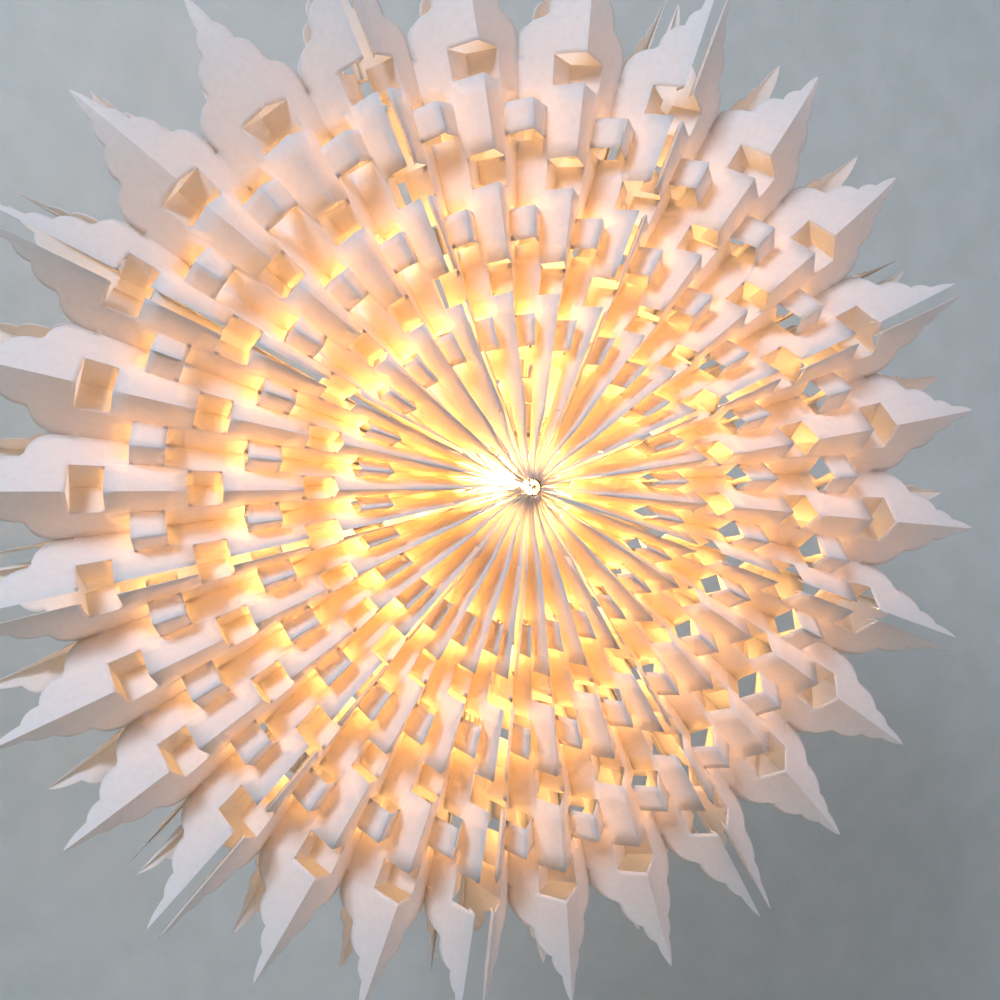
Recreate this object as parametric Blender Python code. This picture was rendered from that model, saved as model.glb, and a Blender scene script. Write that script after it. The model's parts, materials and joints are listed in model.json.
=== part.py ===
"""Paper snowflake star: a hanging star lantern of pleated paper, with its lamp holder and bulb.

Metres, +Z up, and the front of the star faces -Y. The origin is the top of the cord gland, where the
mains lead enters. The hub axis runs along Y through the star's centre, HUB_DROP below the origin.
Heights in the lamp's profiles are measured from the star's centre.
"""

import math

import bmesh
import bpy
import numpy as np
from mathutils import Vector

# The ring of pleats
STAR_RADIUS = 0.305  # hub axis to the tip of every ridge
PANEL_WIDTH = 0.0408  # ridge fold to valley fold, measured along the paper
MODULE_COUNT = 9  # pleated sheets round the ring, front and back alike
PAPER = 0.0003  # thickness of the card
FOLD_REACH = 0.0006  # furthest that a sharp fold's corner stands off the middle of the card
GLUE_GAP = 0.0003  # between the front and the back sheet along a valley
DRIFT = math.radians(6.9)  # how far the pleats crowd towards one side of the ring
DRIFT_TOWARDS = math.radians(155.8)  # direction in which the folds are pushed on furthest

# Seams between modules
SEAM_ANGLE = math.radians(2.4)  # wedge left open between neighbouring modules
SEAM_CLEARANCE = 0.0005  # a seam edge also stands this far off the middle of the seam
HEM_WIDTH = 0.008  # strip folded inwards along each seam edge
HEM_START = 0.036  # hub axis to the inner end of a hem

# Windows cut across the front ridges, whose flaps are pushed in
WINDOW_COUNT = 3
WINDOW_LENGTH = 0.0174
FIRST_WINDOW = 0.1141  # hub axis to the middle of the innermost window
WINDOW_STEP = 0.0578
CUT = 0.0003  # by how much a flap's tip is shorter than its window at each end
WINDOW_MID_CLEARANCE = 0.0012  # from a pushed-in flap's fold line to the middle of the panel

# Scalloped outer edge, from the valley to the tip
LOBE_SHARES = (0.32, 0.25, 0.17, 0.26)
LOBE_BULGE = 0.22  # height of a lobe over its chord

# Inner ends of the panels
HUB_END = 0.0075  # hub axis to the ends of the arms
ARM_TIP = 0.30  # share of the panel's width left at the end of an arm
ARM_WIDTH = 0.46  # share of the panel's width left over the lamp
CAVITY_RADIUS = 0.036  # free space for the bulb at mid-plane
CAVITY_RUN = 0.008
LAMP_CLEARANCE = 0.003

# Lamp holder and bulb
HUB_DROP = 0.072  # top of the cord gland to the hub axis
FIT = 0.0003  # gap between pieces that touch
HOLDER_RADIUS = 0.0134
HOLDER_WALL = 0.0017
HOLDER_BOTTOM = 0.017
HOLDER_JOIN = 0.046  # where the dome sits on the skirt
DOME_TOP = 0.0602
SHOULDER_BOTTOM = 0.0296
SHOULDER_HEIGHT = 0.0014
SHOULDER_REACH = 0.0024
RING_RADIUS = 0.0165
RING_BOTTOM = 0.0205
RING_TOP = 0.0272
CORD_BORE = 0.0033
GLAND_RADIUS = 0.0054
GLAND_WALL = 0.0006  # wall of the gland's stem
DOME_BOSS = 0.001  # thickening of the dome round the gland's stem
TERMINAL_SIZE = (0.0034, 0.006, 0.005)
TERMINAL_SPACING = 0.009
SLEEVE_RADIUS = 0.0076
SLEEVE_WALL = 0.00035
CAP_RADIUS = 0.0069
CAP_WALL = 0.0004
CAP_BOTTOM = 0.015
CAP_TOP = 0.037
CONTACT_TOP = 0.040
GLOBE_RADIUS = 0.013
GLOBE_HEIGHT = -0.003
GLASS_WALL = 0.0008
NECK_DROP = 0.007  # top of the glass neck below the top of the cap

# Carrier wire and hub threads
WIRE_RADIUS = 0.0007
WIRE_ARM_REACH = 0.019  # lamp axis to each arm of the wire
WIRE_END = 0.033  # mid-plane to the hook at each end
THREAD_RADIUS = 0.0004
THREAD_RING = 0.0062
THREAD_SET_BACK = 0.003  # hub thread behind the crest of the ridges
KNOT_RADIUS = 0.0016

# Closing pads
PAD_RADII = (0.076, 0.143)
PAD_LENGTH = 0.012
PAD_HEIGHT = 0.006

ROUND = 24  # sides of a turned piece
WINDOW_DEPTH = PANEL_WIDTH / 2 - WINDOW_MID_CLEARANCE
VALLEY_END = FIRST_WINDOW + (WINDOW_COUNT - 1) * WINDOW_STEP + WINDOW_LENGTH / 2
MODULE_ANGLE = 2 * math.pi / MODULE_COUNT
CLOSING_SEAM = -math.pi / 2  # the ring opens at the bottom
PLEATS = math.ceil(STAR_RADIUS * MODULE_ANGLE * (1 + DRIFT) / (2 * PANEL_WIDTH))


def clear_scene():
    """Empties the scene."""
    for obj in list(bpy.data.objects):
        bpy.data.objects.remove(obj, do_unlink=True)


def material(name, colour, roughness, metallic=0.0):
    """A plain Principled material."""
    made = bpy.data.materials.new(name)
    made.use_nodes = True
    shader = made.node_tree.nodes["Principled BSDF"]
    shader.inputs["Base Color"].default_value = (*colour, 1.0)
    shader.inputs["Roughness"].default_value = roughness
    shader.inputs["Metallic"].default_value = metallic
    return made


def place(name, data, finish, parent):
    """Links one object under the star's centre."""
    obj = bpy.data.objects.new(name, data)
    obj.data.materials.append(finish)
    obj.parent = parent
    bpy.context.scene.collection.objects.link(obj)
    return obj


def mesh_of(name, bm):
    """Turns a bmesh into mesh data."""
    data = bpy.data.meshes.new(name)
    bm.to_mesh(data)
    bm.free()
    return data


# ---- paper ----


def fold_angle(even):
    """Where a fold stands, given where it would stand if the pleats were spread evenly."""
    return even + DRIFT * math.cos(even - DRIFT_TOWARDS)


def module_folds(number):
    """The folds of one module, as (angle, offset), from seam edge to seam edge. Even ones are ridges."""
    start = CLOSING_SEAM + number * MODULE_ANGLE
    count = 2 * PLEATS
    angles = [fold_angle(start + i * MODULE_ANGLE / count) for i in range(count + 1)]
    for i in range(2, count, 2):
        angles[i] = (angles[i - 1] + angles[i + 1]) / 2
    folds = [(angle, 0.0) for angle in angles]
    folds[0] = (angles[0] + SEAM_ANGLE / 2, SEAM_CLEARANCE)
    folds[-1] = (angles[-1] - SEAM_ANGLE / 2, -SEAM_CLEARANCE)
    return folds


def foot(fold, radius):
    """The point of a fold in plan, at this distance along it."""
    angle, offset = fold
    x = radius * math.cos(angle) - offset * math.sin(angle)
    z = radius * math.sin(angle) + offset * math.cos(angle)
    return x, z


def ridge_depth(ridge, valley, radius):
    """How far the ridge stands off the valley, so that the paper between them keeps its width."""
    across = math.dist(foot(ridge, radius), foot(valley, radius))
    return math.sqrt(PANEL_WIDTH**2 - across**2)


def valley_lift(radius):
    """How far the middle of the card stands off mid-plane along a valley, clear of the other sheet."""
    pitch = radius * (1 - DRIFT) * MODULE_ANGLE / (2 * PLEATS)
    return min(PAPER / 2 * PANEL_WIDTH / pitch, FOLD_REACH) + GLUE_GAP / 2


def paper_point(ridge, valley, radius, share, side):
    """A point of a panel: share 0 is the ridge fold and share 1 the valley fold."""
    depth = ridge_depth(ridge, valley, radius)
    near = foot(ridge, radius)
    far = foot(valley, radius)
    x = near[0] + (far[0] - near[0]) * share
    z = near[1] + (far[1] - near[1]) * share
    return Vector((x, side * (valley_lift(radius) + depth * (1 - share)), z))


def flap_tip(ridge, valley, radius, side):
    """Where the ridge fold lands when the flap is pushed in about its own fold lines."""
    tip = paper_point(ridge, valley, radius, 0.0, side)
    depth = ridge_depth(ridge, valley, radius)
    tip.y -= side * 2 * depth * WINDOW_DEPTH / PANEL_WIDTH
    return tip


def along(profile, radius):
    """Reads a broken line of (radius, share) at one radius."""
    for (r0, s0), (r1, s1) in zip(profile, profile[1:]):
        if r0 <= radius <= r1:
            return s0 + (s1 - s0) * (radius - r0) / (r1 - r0)
    return profile[-1][1]


def cavity_end(valley):
    """Where a valley starts: at the bulb's cavity or, above the lamp holder, clear of it."""
    top = HUB_DROP + LAMP_CLEARANCE
    if math.sin(valley[0]) < 0:
        return CAVITY_RADIUS
    clear = (RING_RADIUS + LAMP_CLEARANCE) / max(abs(math.cos(valley[0])), PAPER)
    return min(max(clear, CAVITY_RADIUS), top)


def window_spans():
    """Inner and outer radius of each window."""
    centres = [FIRST_WINDOW + i * WINDOW_STEP for i in range(WINDOW_COUNT)]
    return [(c - WINDOW_LENGTH / 2, c + WINDOW_LENGTH / 2) for c in centres]


def base_profile(valley):
    """The lower side of a panel as (radius, share): an arm over the cavity, then the valley fold."""
    end = cavity_end(valley)
    return [(HUB_END, ARM_TIP), (end - CAVITY_RUN, ARM_WIDTH), (end, 1.0)]


def outer_edge():
    """The scalloped edge as (radius, share) from the valley to the tip, two sides to each lobe."""
    reach = STAR_RADIUS - VALLEY_END
    points = []
    done = 0.0
    for lobe in LOBE_SHARES:
        middle = done + lobe / 2
        bulge = LOBE_BULGE * lobe
        radius = VALLEY_END + reach * middle + bulge * PANEL_WIDTH
        share = min(1 - middle + bulge * reach / PANEL_WIDTH, 1 - middle / 4)
        points.append((radius, share))
        done += lobe
        points.append((VALLEY_END + reach * done, 1 - done))
    return points


def add_face(bm, points):
    """Adds one face with its own corners; they are merged with their neighbours' later."""
    bm.faces.new([bm.verts.new(p) for p in points])


def module_rows(folds, spans):
    """The radii at which a module's panels have corners, the same for all of them."""
    radii = [HEM_START, VALLEY_END]
    for valley in folds[1::2]:
        radii += [r for r, _ in base_profile(valley)]
    for span in spans:
        radii += span
    radii.sort()
    return [r for r, after in zip(radii, radii[1:] + [STAR_RADIUS]) if after - r > PAPER]


def add_band(bm, near, far):
    """Adds the paper between two rows of points, either of which may have an extra corner at a flap."""
    if len(near) == len(far):
        for i in range(len(near) - 1):
            add_face(bm, [near[i], near[i + 1], far[i + 1], far[i]])
    else:
        longer, shorter = (near, far) if len(near) > len(far) else (far, near)
        add_face(bm, [longer[0], longer[1], shorter[0]])
        add_face(bm, [longer[1], longer[2], shorter[1], shorter[0]])


def in_window(inner, outer, spans):
    """Whether a band of paper between two radii lies in a window."""
    return any(a <= inner and outer <= b for a, b in spans)


def add_panel(bm, ridge, valley, side, rows, spans):
    """Adds one panel, between a ridge and a valley, with its half of every flap."""
    base = base_profile(valley)
    hinge = WINDOW_DEPTH / PANEL_WIDTH
    edges = {r for span in spans for r in span}

    def row(radius, start):
        shares = [start, along(base, radius)]
        if start == 0.0 and radius in edges:
            shares.insert(1, hinge)
        return [paper_point(ridge, valley, radius, s, side) for s in shares]

    for inner, outer in zip(rows, rows[1:]):
        cut = in_window(inner, outer, spans)
        start = hinge if cut else 0.0
        add_band(bm, row(inner, start), row(outer, start))
        if cut:
            hinges = [paper_point(ridge, valley, r, hinge, side) for r in (inner, outer)]
            tips = [flap_tip(ridge, valley, r, side) for r in (outer - CUT, inner + CUT)]
            add_face(bm, hinges + tips)
    rim = [paper_point(ridge, valley, r, s, side) for r, s in outer_edge()]
    *crest, valley_end = row(VALLEY_END, 0.0)
    rim = [valley_end] + rim + crest[:-1]
    for a, b in zip(rim, rim[1:]):
        add_face(bm, [crest[-1], a, b])


def add_hem(bm, ridge, valley, side, rows, spans):
    """Adds the strip folded inwards along a seam edge, left out at the windows."""
    fold_in = Vector((0, -side * HEM_WIDTH, 0))
    for inner, outer in zip(rows, rows[1:]):
        if inner >= HEM_START and not in_window(inner, outer, spans):
            a = paper_point(ridge, valley, inner, 0.0, side)
            b = paper_point(ridge, valley, outer, 0.0, side)
            add_face(bm, [a, b, b + fold_in, a + fold_in])
    a = paper_point(ridge, valley, VALLEY_END, 0.0, side)
    b = paper_point(ridge, valley, STAR_RADIUS, 0.0, side)
    add_face(bm, [a, b, a + fold_in])


def corner_offset(vert):
    """From a corner of the sheet's middle to its outer side, square to the panels that meet there."""
    out = Vector((vert.co.x, 0, vert.co.z)).normalized()
    across = out.cross(Vector((0, 1, 0)))
    weights = [face.calc_area() ** 0.5 for face in vert.link_faces]
    sides = [face.normal.dot(across) for face in vert.link_faces]
    fronts = [face.normal.y for face in vert.link_faces]
    rows = np.array([sides, fronts]).T * np.array(weights)[:, None]
    found = np.linalg.lstsq(rows, np.array(weights) * PAPER / 2, rcond=None)[0]
    offset = across * found[0] + Vector((0, found[1], 0))
    return offset * min(1.0, FOLD_REACH / offset.length)


def thicken(bm):
    """Turns the sheet's middle surface into card with two sides and a cut edge all round."""
    offsets = [corner_offset(vert) for vert in bm.verts]
    bm.verts.index_update()
    middle = list(bm.verts)
    faces = list(bm.faces)
    outer = [bm.verts.new(vert.co + offset) for vert, offset in zip(middle, offsets)]
    inner = [bm.verts.new(vert.co - offset) for vert, offset in zip(middle, offsets)]
    for face in faces:
        corners = [vert.index for vert in face.verts]
        bm.faces.new([outer[i] for i in corners])
        bm.faces.new([inner[i] for i in reversed(corners)])
        for loop in face.loops:
            if loop.edge.is_boundary:
                a, b = loop.vert.index, loop.link_loop_next.vert.index
                bm.faces.new([outer[b], outer[a], inner[a], inner[b]])
    bmesh.ops.delete(bm, geom=middle, context="VERTS")


def pleat_sheet(name, number, side, finish, parent):
    """One pleated module, front (side -1) or back (side +1)."""
    bm = bmesh.new()
    folds = module_folds(number)
    spans = window_spans() if side < 0 else []
    rows = module_rows(folds, spans)
    last = len(folds) - 1
    for i in range(last):
        ridge, valley = (folds[i], folds[i + 1]) if i % 2 == 0 else (folds[i + 1], folds[i])
        add_panel(bm, ridge, valley, side, rows, spans)
        if i in (0, last - 1):
            add_hem(bm, ridge, valley, side, rows, spans)
    bmesh.ops.remove_doubles(bm, verts=bm.verts, dist=PAPER / 30)
    bmesh.ops.recalc_face_normals(bm, faces=bm.faces)
    bmesh.ops.triangulate(bm, faces=bm.faces, quad_method="BEAUTY", ngon_method="BEAUTY")
    thicken(bm)
    bmesh.ops.triangulate(bm, faces=bm.faces)
    bmesh.ops.recalc_face_normals(bm, faces=bm.faces)
    return place(name, mesh_of(name, bm), finish, parent)


def closing_pad(name, radius, towards, finish, parent):
    """A stick-on pad on the back hem of the closing seam, up to the middle of the gap."""
    seam = fold_angle(CLOSING_SEAM)
    inner = radius - PAD_LENGTH / 2
    ridge = (seam + SEAM_ANGLE / 2, SEAM_CLEARANCE)
    valley = (fold_angle(CLOSING_SEAM + MODULE_ANGLE / (2 * PLEATS)), 0.0)
    thick = SEAM_CLEARANCE + inner * math.sin(SEAM_ANGLE / 2) - PAPER / 2 - 1.5 * FIT
    crest = valley_lift(radius) + ridge_depth(ridge, valley, radius + PAD_LENGTH / 2)
    bm = bmesh.new()
    bmesh.ops.create_cube(bm, size=1.0)
    size = Vector((PAD_LENGTH, PAD_HEIGHT, thick))
    centre = Vector((radius, crest - HEM_WIDTH / 2, towards * (FIT / 2 + thick / 2)))
    for vert in bm.verts:
        vert.co = Vector(a * b for a, b in zip(vert.co, size)) + centre
    bmesh.ops.bevel(bm, geom=bm.edges[:], offset=thick / 5, segments=1, affect="EDGES")
    obj = place(name, mesh_of(name, bm), finish, parent)
    obj.rotation_euler = (0, -seam, 0)
    return obj


# ---- turned pieces and wire ----


def smooth(obj):
    """Shades a round piece smooth between its sharp edges."""
    obj.data.shade_smooth()
    obj.data.set_sharp_from_angle(angle=math.radians(30))
    return obj


def turned(name, profile, finish, parent, closed=True):
    """Spins a profile of (radius, height) round the lamp axis. An open one starts and ends on the axis."""
    bm = bmesh.new()
    verts = [bm.verts.new((r, 0, z)) for r, z in profile]
    pairs = list(zip(verts, verts[1:]))
    if closed:
        pairs.append((verts[-1], verts[0]))
    edges = [bm.edges.new(pair) for pair in pairs]
    bmesh.ops.spin(
        bm, geom=verts + edges, axis=(0, 0, 1), angle=2 * math.pi, steps=ROUND, use_merge=True
    )
    bmesh.ops.remove_doubles(bm, verts=bm.verts, dist=PAPER / 30)
    bmesh.ops.recalc_face_normals(bm, faces=bm.faces)
    return smooth(place(name, mesh_of(name, bm), finish, parent))


def holder_skirt(finish, parent):
    """The tube that takes the bulb's cap, with the shoulder that the carrier wire turns under."""
    outer = HOLDER_RADIUS
    inner = HOLDER_RADIUS - HOLDER_WALL
    top = HOLDER_JOIN - FIT
    shoulder = outer + SHOULDER_REACH
    over = SHOULDER_BOTTOM + SHOULDER_HEIGHT
    profile = [(outer, HOLDER_BOTTOM), (outer, SHOULDER_BOTTOM), (shoulder, SHOULDER_BOTTOM)]
    profile += [(shoulder, over), (outer, over), (outer, top), (inner, top), (inner, HOLDER_BOTTOM)]
    return turned("holder_skirt", profile, finish, parent)


def arc_points(count, start, end, turn_from, turn_to):
    """Points on an elliptical quarter from start to end, between two angles."""
    steps = [turn_from + (turn_to - turn_from) * i / count for i in range(count + 1)]
    reach = start[0] - end[0]
    rise = end[1] - start[1]
    return [(end[0] + reach * math.cos(t), start[1] + rise * math.sin(t)) for t in steps]


def holder_dome(finish, parent):
    """The domed cap with the cord bore at its top."""
    outer = HOLDER_RADIUS
    inner = HOLDER_RADIUS - HOLDER_WALL
    bore = CORD_BORE + GLAND_WALL + FIT
    under = DOME_TOP - HOLDER_WALL - DOME_BOSS
    quarter = math.pi / 2
    profile = arc_points(5, (outer, HOLDER_JOIN), (GLAND_RADIUS + FIT, DOME_TOP), 0.0, quarter)
    profile += [(bore, DOME_TOP), (bore, under)]
    profile += arc_points(5, (inner, HOLDER_JOIN), (GLAND_RADIUS, under), 0.0, quarter)[::-1]
    return turned("holder_dome", profile, finish, parent)


def cord_gland(finish, parent):
    """The strain-relief nut, with its stem in the dome's bore."""
    stem = CORD_BORE + GLAND_WALL
    seat = DOME_TOP + FIT
    chamfer = 0.0012
    stem_end = DOME_TOP - HOLDER_WALL - DOME_BOSS
    profile = [(CORD_BORE, stem_end), (stem, stem_end), (stem, seat), (GLAND_RADIUS, seat)]
    profile += [(GLAND_RADIUS, HUB_DROP - chamfer), (GLAND_RADIUS - chamfer, HUB_DROP)]
    profile += [(CORD_BORE, HUB_DROP)]
    return turned("cord_gland", profile, finish, parent)


def shade_ring(finish, parent):
    """The flanged ring that screws up the skirt and carries the wire."""
    inner = HOLDER_RADIUS + FIT
    neck = inner + 0.0014
    lip = 0.0016
    profile = [(inner, RING_BOTTOM), (neck, RING_BOTTOM), (neck, RING_TOP - lip)]
    profile += [(RING_RADIUS, RING_TOP - lip), (RING_RADIUS, RING_TOP), (inner, RING_TOP)]
    return turned("shade_ring", profile, finish, parent)


def holder_insert(finish, parent):
    """The insulating insert round the contact sleeve, closed at its upper end."""
    outer = HOLDER_RADIUS - HOLDER_WALL - FIT
    bore = SLEEVE_RADIUS + FIT
    floor = CONTACT_TOP + 0.0038
    top = HOLDER_JOIN - FIT
    low = HOLDER_BOTTOM + 0.001
    profile = [(0, top), (outer, top), (outer, low), (bore, low), (bore, floor), (0, floor)]
    return turned("holder_insert", profile, finish, parent, closed=False)


def contact_sleeve(finish, parent):
    """The metal sleeve that the bulb's cap screws into."""
    inner = SLEEVE_RADIUS - SLEEVE_WALL
    low = HOLDER_BOTTOM + 0.002
    high = CONTACT_TOP + 0.002
    profile = [(SLEEVE_RADIUS, low), (SLEEVE_RADIUS, high), (inner, high), (inner, low)]
    return turned("contact_sleeve", profile, finish, parent)


def centre_contact(finish, parent):
    """The bent spring leaf over the bulb's contact button."""
    half_width = 0.0015
    low = CONTACT_TOP + 2 * FIT
    rise = 0.0022
    reach = 0.005
    bm = bmesh.new()
    line = [(-reach, low + rise), (-reach / 3, low), (reach / 3, low), (reach, low + rise)]
    near = [bm.verts.new((x, -half_width, z)) for x, z in line]
    far = [bm.verts.new((x, half_width, z)) for x, z in line]
    for i in range(len(line) - 1):
        bm.faces.new((near[i], near[i + 1], far[i + 1], far[i]))
    obj = place("centre_contact", mesh_of("centre_contact", bm), finish, parent)
    leaf = obj.modifiers.new("leaf", "SOLIDIFY")
    leaf.thickness = FIT
    leaf.offset = 0.0
    return obj


def terminal(name, x, finish, parent):
    """A brass block that clamps one wire."""
    width, depth, height = TERMINAL_SIZE
    bm = bmesh.new()
    bmesh.ops.create_cube(bm, size=1.0)
    for vert in bm.verts:
        vert.co = Vector((vert.co.x * width, vert.co.y * depth, vert.co.z * height))
    bmesh.ops.bevel(bm, geom=bm.edges[:], offset=width / 8, segments=1, affect="EDGES")
    obj = place(name, mesh_of(name, bm), finish, parent)
    obj.location = (x, 0, HOLDER_JOIN + height / 2 + FIT)
    return obj


def bulb_cap(finish, parent):
    """The bulb's screw cap, with a hole in its top for the contact button."""
    inner = CAP_RADIUS - CAP_WALL
    hole = 0.003
    cone = 0.002
    profile = [(CAP_RADIUS, CAP_BOTTOM), (CAP_RADIUS, CAP_TOP - cone), (hole + cone / 2, CAP_TOP)]
    profile += [(hole, CAP_TOP), (hole, CAP_TOP - CAP_WALL), (hole + CAP_WALL, CAP_TOP - CAP_WALL)]
    profile += [(inner, CAP_TOP - cone - CAP_WALL), (inner, CAP_BOTTOM)]
    return turned("bulb_cap", profile, finish, parent)


def bulb_contact(finish, parent):
    """The contact button in the top of the cap."""
    radius = 0.0027
    dome = 0.001
    low = CAP_TOP - CAP_WALL
    profile = [(0, low), (radius, low), (radius, CONTACT_TOP - dome), (0, CONTACT_TOP)]
    return turned("bulb_contact", profile, finish, parent, closed=False)


def globe_line(radius, neck, top, count):
    """Half the outline of the bulb's glass, from the neck down to the bottom of the globe."""
    start = math.asin(min(neck / radius, 1.0)) + math.radians(14)
    turns = [start + (math.pi - start) * i / count for i in range(count)]
    ball = [(radius * math.sin(t), GLOBE_HEIGHT + radius * math.cos(t)) for t in turns]
    return [(neck, top), (neck, CAP_BOTTOM)] + ball


def bulb_glass(finish, parent):
    """The bulb's glass, open where its neck stands in the cap."""
    neck = CAP_RADIUS - CAP_WALL - FIT
    top = CAP_TOP - NECK_DROP
    outer = globe_line(GLOBE_RADIUS, neck, top, 7) + [(0, GLOBE_HEIGHT - GLOBE_RADIUS)]
    inner = globe_line(GLOBE_RADIUS - GLASS_WALL, neck - GLASS_WALL, top, 7)
    inner.append((0, GLOBE_HEIGHT - GLOBE_RADIUS + GLASS_WALL))
    return turned_shell("bulb_glass", outer, inner, finish, parent)


def turned_shell(name, outer, inner, finish, parent):
    """A turned shell whose outer and inner lines both end on the axis at the bottom."""
    return turned(name, outer[::-1] + inner, finish, parent, closed=False)


def bulb_stem(finish, parent):
    """The stem with the light source inside the glass."""
    wide = CAP_RADIUS - CAP_WALL - GLASS_WALL - 3 * FIT
    slim = 0.0022
    top = CAP_TOP - NECK_DROP - FIT
    profile = [(0, top), (wide, top), (wide, CAP_BOTTOM + slim), (slim, CAP_BOTTOM - slim)]
    profile += [(slim, GLOBE_HEIGHT), (0, GLOBE_HEIGHT - slim)]
    return turned("bulb_stem", profile, finish, parent, closed=False)


def add_tube(bm, route, radius, sides, closed=False):
    """Adds a round tube along a route that turns gently, and returns its corners."""
    count = len(route)
    side = Vector((1, 0, 0))
    rings = []
    for i, point in enumerate(route):
        before = route[i - 1] if i or closed else point
        after = route[(i + 1) % count] if i < count - 1 or closed else point
        ahead = (after - before).normalized()
        side = (side - ahead * side.dot(ahead)).normalized()
        up = ahead.cross(side)
        turns = [2 * math.pi * j / sides for j in range(sides)]
        rings.append([bm.verts.new(point + radius * (side * math.cos(t) + up * math.sin(t))) for t in turns])
    for i in range(count if closed else count - 1):
        for j in range(sides):
            here, there = rings[i], rings[(i + 1) % count]
            bm.faces.new((here[j], there[j], there[(j + 1) % sides], here[(j + 1) % sides]))
    if not closed:
        bm.faces.new(rings[0])
        bm.faces.new(rings[-1][::-1])
    bmesh.ops.recalc_face_normals(bm, faces=bm.faces)


def half_wire():
    """One half of the carrier wire, from the middle of its turn round the holder to its hook."""
    ring = HOLDER_RADIUS + FIT + WIRE_RADIUS
    height = (RING_TOP + SHOULDER_BOTTOM) / 2
    bend = 0.004
    hook = 0.0018
    points = []
    for i in range(5):
        turn = math.pi / 2 * i / 4
        points.append((ring * math.cos(turn), -ring * math.sin(turn), height))
    points.append((0, -(WIRE_ARM_REACH - bend / 2), height))
    points.append((0, -WIRE_ARM_REACH, height - bend / 2))
    for i in range(4):
        turn = math.pi / 2 * i / 3
        points.append((0, -(WIRE_ARM_REACH + bend * (1 - math.cos(turn))), bend * (1 - math.sin(turn))))
    for i in range(6):
        turn = -math.pi / 2 + math.radians(234) * i / 5
        points.append((0, -(WIRE_END - hook + hook * math.cos(turn)), hook + hook * math.sin(turn)))
    return [Vector(point) for point in points]


def carrier_wire(finish, parent):
    """The spring wire that hangs the star on the lamp holder."""
    half = half_wire()
    bm = bmesh.new()
    add_tube(bm, [Vector((p.x, -p.y, p.z)) for p in half[::-1]] + half[1:], WIRE_RADIUS, 6)
    return smooth(place("carrier_wire", mesh_of("carrier_wire", bm), finish, parent))


def helper(name, bm, parent):
    """A hidden shape that another piece is joined with."""
    obj = bpy.data.objects.new(name, mesh_of(name, bm))
    obj.parent = parent
    obj.hide_render = True
    obj.display_type = "WIRE"
    bpy.context.scene.collection.objects.link(obj)
    return obj


def hub_thread(name, side, finish, parent):
    """The thread that gathers the inner ends of the pleats, with its knot."""
    y = side * (PANEL_WIDTH - THREAD_SET_BACK)
    around = 18
    turns = [2 * math.pi * i / around for i in range(around)]
    loop = bmesh.new()
    route = [Vector((THREAD_RING * math.cos(t), y, THREAD_RING * math.sin(t))) for t in turns]
    add_tube(loop, route, THREAD_RADIUS, 6, closed=True)
    obj = smooth(place(name, mesh_of(name, loop), finish, parent))
    span = bmesh.new()
    add_tube(span, [Vector((0, y, -THREAD_RING)), Vector((0, y, THREAD_RING))], THREAD_RADIUS * 0.8, 6)
    knot = bmesh.new()
    made = bmesh.ops.create_icosphere(knot, subdivisions=1, radius=KNOT_RADIUS)
    bmesh.ops.translate(knot, verts=made["verts"], vec=(0, y, 0))
    for label, shape in (("span", span), ("knot", knot)):
        join = obj.modifiers.new(label, "BOOLEAN")
        join.operation = "UNION"
        join.object = helper(f"{name}_{label}", shape, parent)
    return obj


def build():
    """Builds the whole star."""
    clear_scene()
    centre = bpy.data.objects.new("star_centre", None)
    centre.location = (0, 0, -HUB_DROP)
    bpy.context.scene.collection.objects.link(centre)
    paper = material("white_paper", (0.86, 0.85, 0.83), 0.85)
    thread = material("brown_thread", (0.35, 0.22, 0.13), 0.8)
    plastic = material("white_plastic", (0.80, 0.80, 0.78), 0.4)
    ceramic = material("ceramic", (0.88, 0.87, 0.84), 0.3)
    brass = material("brass", (0.72, 0.55, 0.25), 0.35, 1.0)
    steel = material("spring_steel", (0.62, 0.62, 0.64), 0.3, 1.0)
    nickel = material("nickel", (0.70, 0.69, 0.66), 0.3, 1.0)
    opal = material("opal_glass", (0.95, 0.90, 0.80), 0.3)
    pad = material("white_pad", (0.82, 0.82, 0.80), 0.95)
    for number in range(MODULE_COUNT):
        pleat_sheet(f"front_pleats_{number + 1}", number, -1, paper, centre)
        pleat_sheet(f"back_pleats_{number + 1}", number, 1, paper, centre)
    hub_thread("front_hub_thread", -1, thread, centre)
    hub_thread("back_hub_thread", 1, thread, centre)
    for number, radius in enumerate(PAD_RADII, start=1):
        closing_pad(f"hook_pad_{number}", radius, -1, pad, centre)
        closing_pad(f"loop_pad_{number}", radius, 1, pad, centre)
    carrier_wire(steel, centre)
    holder_skirt(plastic, centre)
    holder_dome(plastic, centre)
    cord_gland(plastic, centre)
    shade_ring(plastic, centre)
    holder_insert(ceramic, centre)
    contact_sleeve(brass, centre)
    centre_contact(brass, centre)
    terminal("live_terminal", TERMINAL_SPACING / 2, brass, centre)
    terminal("neutral_terminal", -TERMINAL_SPACING / 2, brass, centre)
    bulb_cap(nickel, centre)
    bulb_contact(brass, centre)
    bulb_glass(opal, centre)
    bulb_stem(opal, centre)


build()
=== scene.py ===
import json
import math
import bmesh
import bpy
import numpy as np
from mathutils import Matrix, Vector

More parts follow.
